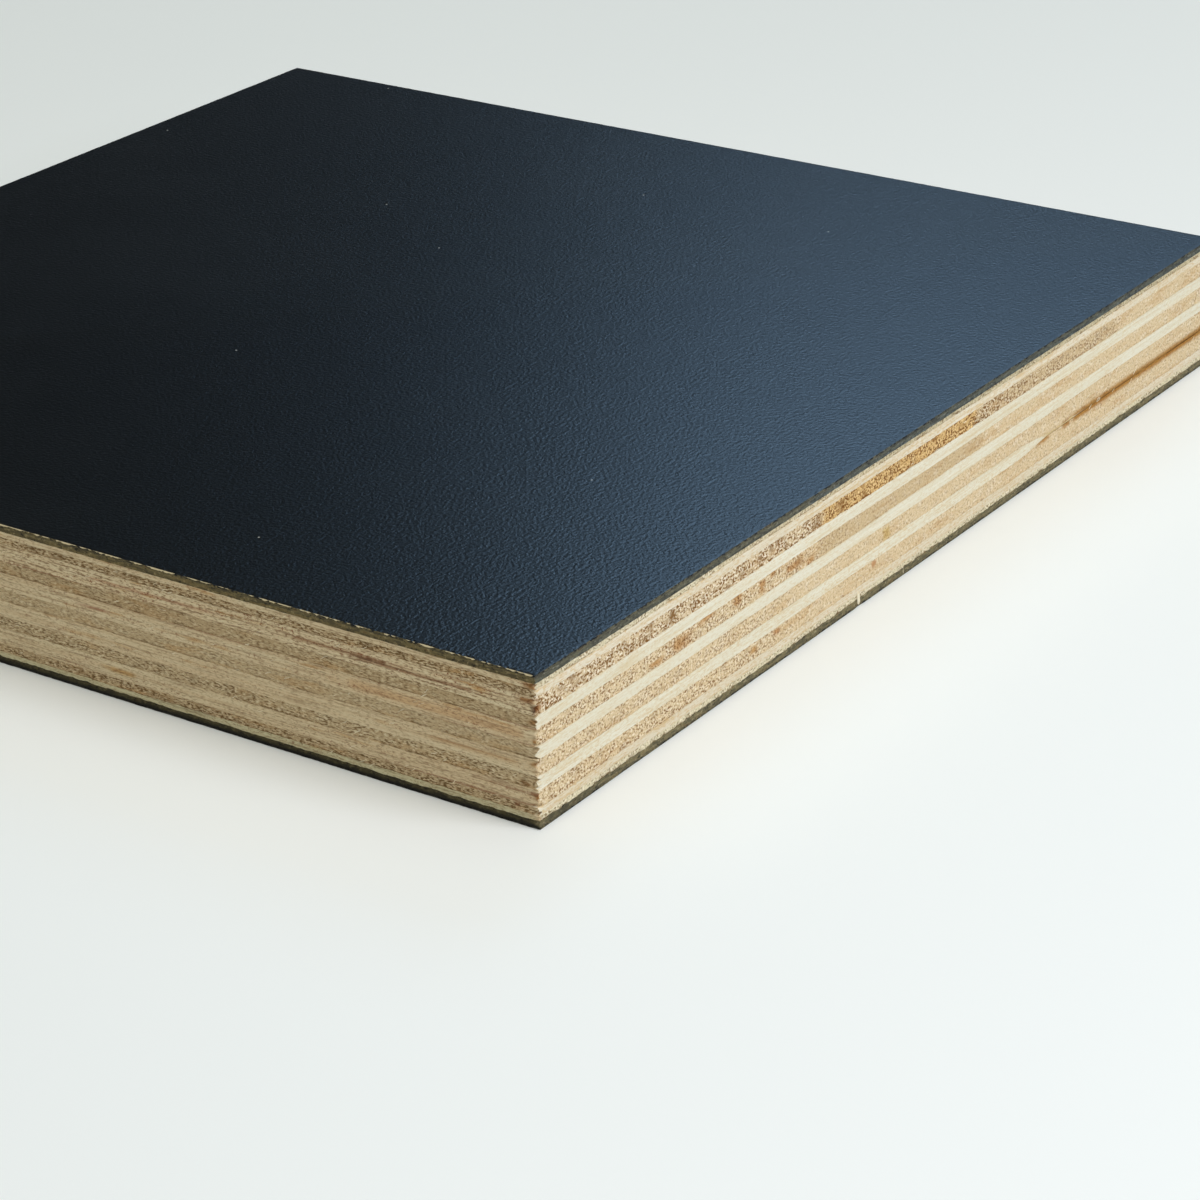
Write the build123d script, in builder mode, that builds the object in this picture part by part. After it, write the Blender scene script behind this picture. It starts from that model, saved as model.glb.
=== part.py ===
"""A cut panel of plywood with a hard laminate pressed on both faces.

Eleven veneers are glued with the grain of each across the next, and a laminate sheet faces each side.
The panel lies flat: X and Y run along its edges, Z is up, and the origin is the middle of its underside.
One core veneer stops short along the front edge, so its two neighbours close into the gap it leaves.
"""

import os

from build123d import *

# Driving dimensions, in millimetres
PANEL_LENGTH = 200.0  # along X
PANEL_WIDTH = 200.0  # along Y
LAMINATE_THICKNESS = 1.2
FACE_VENEER_THICKNESS = 0.8  # sanded thin before the laminate is pressed on
CROSSBAND_THICKNESS = 1.25
CORE_THICKNESS_ALONG_X = 1.9
CORE_THICKNESS_ALONG_Y = 2.65
CORE_VENEER_COUNT = 7  # odd, so that the lay-up is balanced about its middle

# The core gap: where one core veneer ends short of the corner at +X on the front edge, at -Y
GAP_LENGTH = 68.0  # along X, from the corner at +X to where the veneer starts to thin
GAP_TAPER = 12.0  # along X, over which the veneer thins to the crack
GAP_DEPTH = 16.0  # along Y, in from the front edge
CRACK_HEIGHT = 0.35  # what stays open between the two neighbours
GAP_VENEER = 6  # the core veneer that stops short, counted from the top

os.makedirs("parts", exist_ok=True)


def lay_up():
    """Every sheet from the underside up, as (name, thickness)."""
    core = []
    for number in range(CORE_VENEER_COUNT, 0, -1):
        grain_along_y = number % 2 == 1
        thickness = CORE_THICKNESS_ALONG_Y if grain_along_y else CORE_THICKNESS_ALONG_X
        core.append((f"core_veneer_{number}", thickness))
    below = [
        ("bottom_laminate", LAMINATE_THICKNESS),
        ("bottom_face_veneer", FACE_VENEER_THICKNESS),
        ("bottom_crossband", CROSSBAND_THICKNESS),
    ]
    above = [
        ("top_crossband", CROSSBAND_THICKNESS),
        ("top_face_veneer", FACE_VENEER_THICKNESS),
        ("top_laminate", LAMINATE_THICKNESS),
    ]
    return below + core + above


def levels():
    """The underside and thickness of each sheet, by name."""
    found = {}
    height = 0.0
    for name, thickness in lay_up():
        found[name] = (height, thickness)
        height += thickness
    return found


LEVELS = levels()
SHORT_VENEER = f"core_veneer_{GAP_VENEER}"
VENEER_ABOVE = f"core_veneer_{GAP_VENEER - 1}"
VENEER_BELOW = f"core_veneer_{GAP_VENEER + 1}"

# The gap's corners on the front edge, from the sizes above
gap_bottom, gap_height = LEVELS[SHORT_VENEER]
gap_top = gap_bottom + gap_height
gap_middle = gap_bottom + gap_height / 2
crack_top = gap_middle + CRACK_HEIGHT / 2
crack_bottom = gap_middle - CRACK_HEIGHT / 2
gap_end = PANEL_LENGTH / 2
gap_start = gap_end - GAP_LENGTH
taper_end = gap_start + GAP_TAPER
FRONT_EDGE = Plane.XZ.offset(PANEL_WIDTH / 2)  # faces -Y

# Where the short veneer is missing: a step that tapers down to the crack
MISSING = [
    (gap_start, gap_top),
    (gap_end, gap_top),
    (gap_end, gap_bottom),
    (gap_start, gap_bottom),
    (taper_end, crack_bottom),
    (taper_end, crack_top),
]
# What the neighbours fill of it, from above and from below
FILL_FROM_ABOVE = [
    (gap_start, gap_top),
    (gap_end, gap_top),
    (gap_end, crack_top),
    (taper_end, crack_top),
]
FILL_FROM_BELOW = [
    (gap_start, gap_bottom),
    (taper_end, crack_bottom),
    (gap_end, crack_bottom),
    (gap_end, gap_bottom),
]
# The outline that each sheet at the gap gains or loses there
GAP_SHAPES = {
    SHORT_VENEER: (MISSING, Mode.SUBTRACT),
    VENEER_ABOVE: (FILL_FROM_ABOVE, Mode.ADD),
    VENEER_BELOW: (FILL_FROM_BELOW, Mode.ADD),
}

for name, (height, thickness) in LEVELS.items():
    with BuildPart() as sheet:
        with BuildSketch(Plane.XY.offset(height)):
            Rectangle(PANEL_LENGTH, PANEL_WIDTH)
        extrude(amount=thickness)
        if name in GAP_SHAPES:
            outline, mode = GAP_SHAPES[name]
            with BuildSketch(FRONT_EDGE):
                with BuildLine():
                    Polyline(*outline, close=True)
                make_face()
            extrude(amount=-GAP_DEPTH, mode=mode)
    sheet.part.label = name
    export_step(sheet.part, f"parts/{name}.step")
    print(name, "from", round(height, 3), "to", round(height + thickness, 3))
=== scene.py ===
"""Dresses a cut panel of laminate-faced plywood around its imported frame.

The panel lies flat on a pale floor. Each of its thirteen glued sheets becomes one closed mesh, made by one
Geometry Nodes tree: glue lines that wander, saw marks and torn grain on the four sawn edges, chips along
the laminate's arris, and the crack where one core veneer stops short. A smaller tree adds the fibres that
the saw left lying on the edges, and two splinters at the foot of the front edge.
"""

import math

import bpy
import numpy as np
from bpy.props import FloatProperty, FloatVectorProperty, IntProperty, PointerProperty
from mathutils import Matrix, Vector, noise


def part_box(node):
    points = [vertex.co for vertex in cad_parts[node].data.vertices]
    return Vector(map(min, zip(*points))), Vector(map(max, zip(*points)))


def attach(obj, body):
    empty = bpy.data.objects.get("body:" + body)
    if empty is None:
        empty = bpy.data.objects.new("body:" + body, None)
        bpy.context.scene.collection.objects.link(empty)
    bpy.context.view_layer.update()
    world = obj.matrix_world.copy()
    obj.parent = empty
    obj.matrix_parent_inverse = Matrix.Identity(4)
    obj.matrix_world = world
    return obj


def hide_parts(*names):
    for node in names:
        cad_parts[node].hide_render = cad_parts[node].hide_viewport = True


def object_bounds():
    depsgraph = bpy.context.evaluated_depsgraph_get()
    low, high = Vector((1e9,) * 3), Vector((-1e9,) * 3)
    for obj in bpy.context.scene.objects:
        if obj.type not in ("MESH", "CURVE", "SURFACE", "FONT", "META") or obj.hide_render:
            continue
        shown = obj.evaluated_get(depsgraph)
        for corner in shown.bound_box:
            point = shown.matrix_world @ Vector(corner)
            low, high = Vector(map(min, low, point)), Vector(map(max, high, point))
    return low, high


bl_info = {
    "name": "Plywood Panel",
    "version": (1, 0, 0),
    "blender": (4, 5, 0),
    "location": "View3D > Sidebar > Plywood",
    "description": "Builds the sheets, the loose fibres and the stage of a laminate-faced plywood panel",
    "category": "Object",
}

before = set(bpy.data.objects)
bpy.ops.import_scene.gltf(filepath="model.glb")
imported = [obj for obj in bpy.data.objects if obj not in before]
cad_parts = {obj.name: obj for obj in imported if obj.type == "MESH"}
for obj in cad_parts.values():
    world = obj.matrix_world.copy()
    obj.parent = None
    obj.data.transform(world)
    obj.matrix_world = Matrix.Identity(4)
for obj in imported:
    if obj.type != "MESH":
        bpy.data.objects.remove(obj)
CAD_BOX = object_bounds()
MM = 0.001
ROOT_BODY = "root"

# The sheets from the underside up, as the frame names them
STACK = (
    "bottom_laminate",
    "bottom_face_veneer",
    "bottom_crossband",
    "core_veneer_7",
    "core_veneer_6",
    "core_veneer_5",
    "core_veneer_4",
    "core_veneer_3",
    "core_veneer_2",
    "core_veneer_1",
    "top_crossband",
    "top_face_veneer",
    "top_laminate",
)
LAMINATES = ("bottom_laminate", "top_laminate")
FACE_VENEERS = ("bottom_face_veneer", "top_face_veneer")
CROSSBANDS = ("bottom_crossband", "top_crossband")
CORE_VENEERS = tuple(name for name in STACK if name.startswith("core_veneer"))
SHORT_VENEER = "core_veneer_6"
TORN_SHEETS = STACK[:3]
GRAIN_ALONG_X = CROSSBANDS + ("core_veneer_2", "core_veneer_4", "core_veneer_6")
# How open the pores of each veneer are and how strong its figure; the others lie at the usual share
USUAL_OPEN_SHARE = 0.75
OPEN_SHARES = {
    "top_face_veneer": 0.85,
    "top_crossband": 1.15,
    "core_veneer_1": 1.4,
    "core_veneer_2": 0.7,
    "core_veneer_3": 0.9,
    "core_veneer_4": 0.6,
    "core_veneer_6": 0.9,
    "core_veneer_7": 0.9,
    "bottom_crossband": 1.15,
    "bottom_face_veneer": 0.85,
}

# The panel's plan, from the frame
PANEL_LENGTH = CAD_BOX[1].x - CAD_BOX[0].x
PANEL_WIDTH = CAD_BOX[1].y - CAD_BOX[0].y
PANEL_TOP = CAD_BOX[1].z
FRONT = CAD_BOX[0].y
LEFT = CAD_BOX[0].x
TOUCH = 0.01 * MM  # how near counts as lying on an edge


def glue_lines():
    """Height of every glue line where the veneers are whole, and where they close over the core gap."""
    whole = [CAD_BOX[0].z]
    closed = [CAD_BOX[0].z]
    for below, above in zip(STACK, STACK[1:]):
        top_of_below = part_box(below)[1].z
        foot_of_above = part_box(above)[0].z
        if above == SHORT_VENEER:
            whole.append(foot_of_above)
            closed.append(top_of_below)
        else:
            whole.append(top_of_below)
            closed.append(foot_of_above)
    return whole + [PANEL_TOP], closed + [PANEL_TOP]


def core_gap():
    """Where the short veneer starts to thin, where it ends, and how far in its gap reaches."""
    corners = [vertex.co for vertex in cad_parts[SHORT_VENEER].data.vertices]
    along = sorted({round(corner.x, 5) for corner in corners if corner.y < FRONT + TOUCH})
    inward = sorted({round(corner.y, 5) for corner in corners if corner.x > along[-1] + TOUCH})
    return along[1], along[-1], inward[0]


WHOLE_LEVELS, CLOSED_LEVELS = glue_lines()
GAP_START, GAP_END, GAP_BACK = core_gap()


def linear(hex_colour):
    """An sRGB hex colour as linear red, green and blue."""
    found = []
    for start in (1, 3, 5):
        value = int(hex_colour[start : start + 2], 16) / 255
        found.append(value / 12.92 if value <= 0.04045 else ((value + 0.055) / 1.055) ** 2.4)
    return tuple(found)


def opaque(colour):
    """A colour as the four numbers that a node's socket takes."""
    return (*colour, 1.0)


def length_property(name, description, default):
    """A size in metres that a user may change."""
    return FloatProperty(
        name=name, description=description, default=default, min=0.0, unit="LENGTH", precision=5
    )


def colour_property(name, description, hex_colour):
    """A colour that a user may change, written as sRGB hex."""
    return FloatVectorProperty(
        name=name,
        description=description,
        default=linear(hex_colour),
        min=0.0,
        max=1.0,
        size=3,
        subtype="COLOR",
    )


def angle_property(name, description, degrees):
    """An angle that a user may change, written in degrees."""
    return FloatProperty(
        name=name, description=description, default=math.radians(degrees), subtype="ANGLE"
    )


class SawnEdgeSizes(bpy.types.PropertyGroup):
    """Sizes of what the saw and the press leave on the panel's edges."""

    column_spacing: length_property("Column spacing", "Mesh spacing along the edges", 0.3 * MM)
    row_spacing: length_property("Row spacing", "Mesh spacing through a veneer", 0.24 * MM)
    laminate_row: length_property("Laminate row", "Mesh spacing through a laminate", 0.12 * MM)
    rim_width: length_property("Rim width", "Border of a veneer that may follow its torn edge", 2.0 * MM)
    laminate_rim: length_property("Laminate rim", "Border of a laminate that follows its chips", 0.5 * MM)
    glue_wave: length_property("Glue line wave", "How far a veneer's glue line wanders", 0.3 * MM)
    glue_wave_length: length_property("Wave length", "Length of one wave of a glue line", 46.0 * MM)
    glue_jag: length_property("Glue line jag", "Short raggedness of a veneer's glue line", 0.09 * MM)
    torn_jag: length_property("Torn jag", "Raggedness where the saw left the underside", 0.24 * MM)
    glue_jag_length: length_property("Jag length", "Length of one jag", 1.3 * MM)
    end_relief: length_property("End grain relief", "Roughness of sawn end grain", 0.16 * MM)
    end_tear: length_property("End grain tear", "Depth of fibres torn out of end grain", 0.18 * MM)
    long_relief: length_property("Long grain relief", "Roughness of sawn long grain", 0.05 * MM)
    long_tear: length_property("Long grain tear", "Depth of fibres lifted off long grain", 0.1 * MM)
    pore_width: length_property("Pore width", "Width of the pores across the grain", 0.65 * MM)
    pore_length: length_property("Pore length", "Length of the pores along the grain", 13.0 * MM)
    corner_tear: length_property("Corner tear", "Depth of the chips at the upright corners", 0.75 * MM)
    corner_reach: length_property("Corner reach", "How far from a corner it chips", 1.6 * MM)
    laminate_relief: length_property("Laminate relief", "Saw marks on the laminate's edge", 0.03 * MM)
    chip_depth: length_property("Chip depth", "Depth of the chips along the upper arris", 0.16 * MM)
    foot_chip: length_property("Foot chip depth", "Depth of the chips along the lower arris", 0.05 * MM)
    chip_length: length_property("Chip length", "Length of the chips along the arris", 2.2 * MM)
    crack_recess: length_property("Crack recess", "How far the short veneer stands back", 0.18 * MM)
    fibre_count: IntProperty(name="Fibres", description="Loose fibres on each edge", default=170, min=0)
    fibre_length: length_property("Fibre length", "Length of the longest loose fibre", 1.4 * MM)
    fibre_radius: length_property("Fibre radius", "Half the width of a loose fibre", 0.05 * MM)
    splinter_place: length_property("Splinter place", "Near corner to the splinter", 82.6 * MM)
    sliver_place: length_property("Sliver place", "Near corner to a smaller splinter", 95.7 * MM)
    splinter_length: length_property("Splinter length", "Height of that splinter", 2.4 * MM)
    splinter_radius: length_property("Splinter radius", "Half the width of that splinter", 0.42 * MM)
    splinter_depth: length_property("Splinter depth", "Half the thickness of that splinter", 0.12 * MM)
    nick_depth: length_property("Nick depth", "Depth of the torn spot behind that splinter", 0.12 * MM)
    nick_reach: length_property("Nick reach", "How far that torn spot spreads", 1.4 * MM)


class SheetColours(bpy.types.PropertyGroup):
    """Colours of the laminate and of the two kinds of veneer."""

    film: colour_property("Film", "Dark surface of the laminate", "#0c0f11")
    film_haze: colour_property("Film haze", "Rubbed places on the film", "#111416")
    dust: colour_property("Dust", "Grains of dust on the film", "#c4c7c0")
    paper: colour_property("Pressed paper", "Sawn core of the laminate", "#7e7453")
    paper_dark: colour_property("Pressed paper, dark", "Resin-rich plies of that core", "#5a533e")
    paper_rust: colour_property("Pressed paper, scorched", "Where the saw rubbed that core", "#66482a")
    paper_light: colour_property("Pressed paper, torn", "Torn fibres of that core", "#a5997a")
    chip: colour_property("Chip", "Fresh break along the laminate's arris", "#e2d7b8")
    cream: colour_property("Pale veneer", "Long grain of the pale veneer", "#ded7c0")
    cream_streak: colour_property("Pale veneer streak", "Darker fibres of the pale veneer", "#d2b98a")
    cream_light: colour_property("Pale veneer light", "Lightest fibres of the pale veneer", "#e6e1cf")
    pale_end: colour_property("Pale end grain", "End grain of the pale veneer", "#bda681")
    pale_end_pore: colour_property("Pale end grain pore", "Open pores of that end grain", "#755a36")
    pale_end_tip: colour_property("Pale end grain tip", "Torn fibre tips of that end grain", "#dccdab")
    tan: colour_property("Porous veneer", "Long grain of the porous veneer", "#d1ba94")
    tan_streak: colour_property("Porous veneer streak", "Reddish fibres of the porous veneer", "#83502f")
    tan_line: colour_property("Porous veneer line", "Fine darker fibres between the pores", "#8f7352")
    tan_light: colour_property("Porous veneer light", "Lightest fibres of the porous veneer", "#dccca8")
    porous_end: colour_property("Porous end grain", "End grain of the porous veneer", "#d7c099")
    porous_end_pore: colour_property("Porous end grain pore", "Open pores of that end grain", "#805a2a")
    porous_end_tip: colour_property("Porous end grain tip", "Torn fibre tips of it", "#f1e5cd")
    face_end: colour_property("Face veneer end grain", "End grain of the thin face veneers", "#d9cfae")
    face_end_pore: colour_property("Face veneer end grain pore", "Open pores of them", "#8a7350")
    glue: colour_property("Glue", "Resin glue that soaked into the grain", "#b98a4c")
    fibre: colour_property("Loose fibre", "Fibres that the saw left behind", "#e9dfc4")
    floor: colour_property("Floor", "Pale table top", "#f2f5f4")


class StageSettings(bpy.types.PropertyGroup):
    """The photograph's view and the lamps."""

    azimuth: angle_property("Azimuth", "Where the camera stands round the panel", -54.97)
    elevation: angle_property("Elevation", "How far the camera looks down", 24.91)
    roll: angle_property("Roll", "Tilt of the camera about its own axis", -1.436)
    distance: length_property("Distance", "Camera to its aim", 611.98 * MM)
    aim_right: length_property("Aim right", "How far right of the origin the camera aims", 33.23 * MM)
    aim_down: length_property("Aim down", "How far below the origin the camera aims", 28.27 * MM)
    lens: FloatProperty(
        name="Lens", description="Focal length on a 36 mm sensor", default=109.66, subtype="DISTANCE_CAMERA"
    )
    key_power: FloatProperty(name="Key power", description="Softbox in front", default=5.8, min=0.0)
    window_power: FloatProperty(
        name="Window power", description="Cool light from behind, right", default=5.7, min=0.0
    )
    sky_strength: FloatProperty(
        name="Overhead strength", description="Wide light from above", default=1.57, min=0.0
    )


def add_node(tree, kind, inputs=None, output=0, **settings):
    """Adds one node with its settings, fills or links its sockets, and gives one output, or all."""
    node = tree.nodes.new(kind)
    for name, value in settings.items():
        setattr(node, name, value)
    for key, value in (inputs or {}).items():
        if isinstance(value, bpy.types.NodeSocket):
            tree.links.new(value, node.inputs[key])
        else:
            node.inputs[key].default_value = value
    return node.outputs if output is None else node.outputs[output]


# Sockets of the Mix node, which has one set for each kind of data
FLOAT_A, FLOAT_B = 2, 3
COLOUR_A, COLOUR_B, COLOUR_RESULT = 6, 7, 2

SHEET_INPUTS = (
    ("Length", "NodeSocketFloat"),
    ("Width", "NodeSocketFloat"),
    ("Rim Share", "NodeSocketFloat"),
    ("Columns", "NodeSocketInt"),
    ("Rows", "NodeSocketInt"),
    ("Lower Level", "NodeSocketFloat"),
    ("Lower Closed Level", "NodeSocketFloat"),
    ("Lower Line", "NodeSocketFloat"),
    ("Lower Wave", "NodeSocketFloat"),
    ("Lower Jag", "NodeSocketFloat"),
    ("Upper Level", "NodeSocketFloat"),
    ("Upper Closed Level", "NodeSocketFloat"),
    ("Upper Line", "NodeSocketFloat"),
    ("Upper Wave", "NodeSocketFloat"),
    ("Upper Jag", "NodeSocketFloat"),
    ("Wave Scale", "NodeSocketFloat"),
    ("Jag Scale", "NodeSocketFloat"),
    ("Gap Start", "NodeSocketFloat"),
    ("Gap End", "NodeSocketFloat"),
    ("Gap Back", "NodeSocketFloat"),
    ("Gap Recess", "NodeSocketFloat"),
    ("Pattern Scale", "NodeSocketVector"),
    ("Seed", "NodeSocketFloat"),
    ("Open Share", "NodeSocketFloat"),
    ("X Wall Relief", "NodeSocketFloat"),
    ("X Wall Tear", "NodeSocketFloat"),
    ("Y Wall Relief", "NodeSocketFloat"),
    ("Y Wall Tear", "NodeSocketFloat"),
    ("Corner Tear", "NodeSocketFloat"),
    ("Corner Reach", "NodeSocketFloat"),
    ("Nick Place", "NodeSocketFloat"),
    ("Nick Reach", "NodeSocketFloat"),
    ("Nick Depth", "NodeSocketFloat"),
    ("Outer Up", "NodeSocketFloat"),
    ("Chip Depth", "NodeSocketFloat"),
    ("Chip Scale", "NodeSocketFloat"),
    ("X Wall Material", "NodeSocketMaterial"),
    ("Y Wall Material", "NodeSocketMaterial"),
    ("Upper Material", "NodeSocketMaterial"),
    ("Lower Material", "NodeSocketMaterial"),
)
# What a face of a sheet is, kept in the attribute "side" while the tree runs
X_WALL, Y_WALL, UPPER_FACE, LOWER_FACE = 1.0, 2.0, 3.0, 4.0
SIDE_CODES = {
    "X Wall Material": X_WALL,
    "Y Wall Material": Y_WALL,
    "Upper Material": UPPER_FACE,
    "Lower Material": LOWER_FACE,
}


def new_tree(name, inputs):
    """An empty geometry tree with these inputs; gives the tree and its input sockets."""
    tree = bpy.data.node_groups.new(name, "GeometryNodeTree")
    for label, kind in inputs:
        tree.interface.new_socket(name=label, in_out="INPUT", socket_type=kind)
    tree.interface.new_socket(name="Geometry", in_out="OUTPUT", socket_type="NodeSocketGeometry")
    return tree, add_node(tree, "NodeGroupInput", output=None)


def plain_slab(tree, given):
    """A closed slab, one unit tall: a fine grid round its walls and a rim inside each flat face."""
    plan_sizes = {"Width": given["Length"], "Height": given["Width"]}
    plan = add_node(tree, "GeometryNodeCurvePrimitiveQuadrilateral", plan_sizes)
    outline = add_node(tree, "GeometryNodeSubdivideCurve", {"Curve": plan, "Cuts": given["Columns"]})
    rise = add_node(tree, "GeometryNodeCurvePrimitiveLine", {"End": (0.0, 0.0, 1.0)})
    stepped = add_node(tree, "GeometryNodeResampleCurve", {"Curve": rise, "Count": given["Rows"]})
    sweep = {"Curve": stepped, "Profile Curve": outline, "Fill Caps": True}
    slab = add_node(tree, "GeometryNodeCurveToMesh", sweep)
    normal = add_node(tree, "GeometryNodeInputNormal")
    facing = add_node(tree, "ShaderNodeSeparateXYZ", {0: normal}, output=None)
    flat = add_node(tree, "ShaderNodeMath", {0: facing["Z"]}, operation="ABSOLUTE")
    is_flat = add_node(tree, "ShaderNodeMath", {0: flat, 1: 0.5}, operation="GREATER_THAN")
    upright = add_node(tree, "ShaderNodeMath", {0: facing["Y"]}, operation="ABSOLUTE")
    wall_codes = {"Value": upright, "To Min": X_WALL, "To Max": Y_WALL}
    wall_code = add_node(tree, "ShaderNodeMapRange", wall_codes)
    flat_codes = {"Value": facing["Z"], "From Min": -1.0, "To Min": LOWER_FACE, "To Max": UPPER_FACE}
    flat_code = add_node(tree, "ShaderNodeMapRange", flat_codes)
    code = add_node(tree, "ShaderNodeMix", {"Factor": is_flat, FLOAT_A: wall_code, FLOAT_B: flat_code})
    side = {"Geometry": slab, "Name": "side", "Value": code}
    marked = add_node(tree, "GeometryNodeStoreNamedAttribute", side, data_type="FLOAT", domain="FACE")
    rim = {"Mesh": marked, "Selection": is_flat, "Offset Scale": 0.0, "Individual": False}
    doubled = add_node(tree, "GeometryNodeExtrudeMesh", rim, output=None)
    inner = {"Geometry": doubled["Mesh"], "Selection": doubled["Top"], "Scale": given["Rim Share"]}
    return add_node(tree, "GeometryNodeScaleElements", inner)


def wall_places(tree, given, axes):
    """For the walls that face X, then Y: each point's way in from them, its side, and if it is on them."""
    insets = []
    signs = []
    on_walls = []
    for axis, extent in (("X", "Length"), ("Y", "Width")):
        half = add_node(tree, "ShaderNodeMath", {0: given[extent], 1: 0.5}, operation="MULTIPLY")
        reach = add_node(tree, "ShaderNodeMath", {0: axes[axis]}, operation="ABSOLUTE")
        inset = add_node(tree, "ShaderNodeMath", {0: half, 1: reach}, operation="SUBTRACT")
        insets.append(inset)
        signs.append(add_node(tree, "ShaderNodeMath", {0: axes[axis]}, operation="SIGN"))
        on_walls.append(add_node(tree, "ShaderNodeMath", {0: inset, 1: TOUCH}, operation="LESS_THAN"))
    return insets, signs, on_walls


def closed_gap(tree, given, axes, wall):
    """How far the core gap is closed: along X from its start to its end, as far in as its back."""
    stretch = {"Value": axes["X"], "From Min": given["Gap Start"], "From Max": given["Gap End"]}
    along = add_node(tree, "ShaderNodeMapRange", stretch, interpolation_type="SMOOTHSTEP")
    way_in = {0: axes["Y"], 1: given["Gap Back"]}
    before_back = add_node(tree, "ShaderNodeMath", way_in, operation="LESS_THAN")
    in_gap = add_node(tree, "ShaderNodeMath", {0: along, 1: before_back}, operation="MULTIPLY")
    return add_node(tree, "ShaderNodeMath", {0: in_gap, 1: wall}, operation="MULTIPLY")


def glue_line(tree, given, side, spot, wall, closed):
    """Height of the sheet's lower or upper glue line along its walls, closing over the core gap."""
    line = add_node(tree, "ShaderNodeCombineXYZ", {"Z": given[side + " Line"]})
    place = add_node(tree, "ShaderNodeVectorMath", {0: spot, 1: line}, operation="ADD")
    height = given[side + " Level"]
    for amount in ("Wave", "Jag"):
        waves = {"Vector": place, "Scale": given[amount + " Scale"], "Detail": 2.0}
        swing = add_node(tree, "ShaderNodeTexNoise", waves)
        both_ways = {"Value": swing, "To Min": -1.0, "To Max": 1.0}
        centred = add_node(tree, "ShaderNodeMapRange", both_ways, clamp=False)
        on_wall = add_node(tree, "ShaderNodeMath", {0: centred, 1: wall}, operation="MULTIPLY")
        shifted = {0: on_wall, 1: given[f"{side} {amount}"], 2: height}
        height = add_node(tree, "ShaderNodeMath", shifted, operation="MULTIPLY_ADD")
    closing = {"Factor": closed, FLOAT_A: height, FLOAT_B: given[side + " Closed Level"]}
    return add_node(tree, "ShaderNodeMix", closing)


# Values of the grain's noise from where a wall is smooth or whole to where it is roughest or torn deepest
SMOOTH_FROM, ROUGH_FROM = 0.72, 0.28
WHOLE_FROM, TORN_FROM = 0.56, 0.74
TORN_SCALE = 0.3  # how many torn patches there are to a pore


def saw_depth(tree, given, grain, on_walls):
    """How deep the saw roughened and tore each wall, and where it tore."""
    fibre = add_node(tree, "ShaderNodeTexNoise", {"Vector": grain, "Scale": 1.0, "Detail": 2.0})
    patch = add_node(tree, "ShaderNodeTexNoise", {"Vector": grain, "Scale": TORN_SCALE, "Detail": 1.0})
    roughness = {"Value": fibre, "From Min": SMOOTH_FROM, "From Max": ROUGH_FROM}
    rough = add_node(tree, "ShaderNodeMapRange", roughness)
    tearing = {"Value": patch, "From Min": WHOLE_FROM, "From Max": TORN_FROM}
    torn = add_node(tree, "ShaderNodeMapRange", tearing)
    depth = 0.0
    for axis, on_wall in zip("XY", on_walls):
        relief = {0: rough, 1: given[axis + " Wall Relief"]}
        saw = add_node(tree, "ShaderNodeMath", relief, operation="MULTIPLY")
        tear = {0: torn, 1: given[axis + " Wall Tear"], 2: saw}
        cut = add_node(tree, "ShaderNodeMath", tear, operation="MULTIPLY_ADD")
        depth = add_node(tree, "ShaderNodeMath", {0: cut, 1: on_wall, 2: depth}, operation="MULTIPLY_ADD")
    return depth, torn


CORNER_STEPS = (31.7, 57.3)  # how far apart in their noise the four corners lie, along X and Y
CORNER_SCALE = 0.8  # how many torn places there are to a pore's width, up a corner
# Values of that noise where a wall starts to tear and where most is gone, and that most, for X and Y
CORNER_TEARS = ((0.51, 0.6, 0.8), (0.49, 0.4, 0.5))


def corner_tears(tree, given, grain, insets, signs):
    """What is gone from the upright corners: each height is torn off one wall or off the other."""
    from_corner = add_node(tree, "ShaderNodeMath", {0: insets[0], 1: insets[1]}, operation="ADD")
    closeness = {"Value": from_corner, "From Max": given["Corner Reach"], "To Min": 1.0, "To Max": 0.0}
    near = add_node(tree, "ShaderNodeMapRange", closeness)
    place = add_node(tree, "ShaderNodeSeparateXYZ", {0: grain}, output="Z")
    for sign, step in zip(signs, CORNER_STEPS):
        place = add_node(tree, "ShaderNodeMath", {0: sign, 1: step, 2: place}, operation="MULTIPLY_ADD")
    line = {"W": place, "Scale": CORNER_SCALE, "Detail": 3.0}
    swing = add_node(tree, "ShaderNodeTexNoise", line, noise_dimensions="1D")
    tears = []
    for start, full, most in CORNER_TEARS:
        tearing = {"Value": swing, "From Min": start, "From Max": full, "To Max": most}
        off = add_node(tree, "ShaderNodeMapRange", tearing)
        tears.append(add_node(tree, "ShaderNodeMath", {0: near, 1: off}, operation="MULTIPLY"))
    return tears


def with_torn_spot(tree, given, axes, depth):
    """The depth of the walls with the torn spot in the front edge."""
    aside = add_node(tree, "ShaderNodeMath", {0: axes["X"], 1: given["Nick Place"]}, operation="SUBTRACT")
    from_nick = add_node(tree, "ShaderNodeMath", {0: aside}, operation="ABSOLUTE")
    reach = given["Nick Reach"]
    hollow = {"Value": from_nick, "From Max": reach, "To Min": given["Nick Depth"], "To Max": 0.0}
    nick = add_node(tree, "ShaderNodeMapRange", hollow)
    at_front = add_node(tree, "ShaderNodeMath", {0: axes["Y"], 1: 0.0}, operation="LESS_THAN")
    return add_node(tree, "ShaderNodeMath", {0: nick, 1: at_front, 2: depth}, operation="MULTIPLY_ADD")


WHOLE_ARRIS, BROKEN_ARRIS = 0.4, 0.58  # values of the noise where the arris is whole and where it is broken
CHIP_REACH = 0.3  # share of the laminate's thickness that the chips reach down
ENTRY_CHIPS = 0.22  # depth of the chips where the saw came in, against where it came out
CHIP_SLOPE = 0.4  # how far a chip lowers the arris, against its depth


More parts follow.
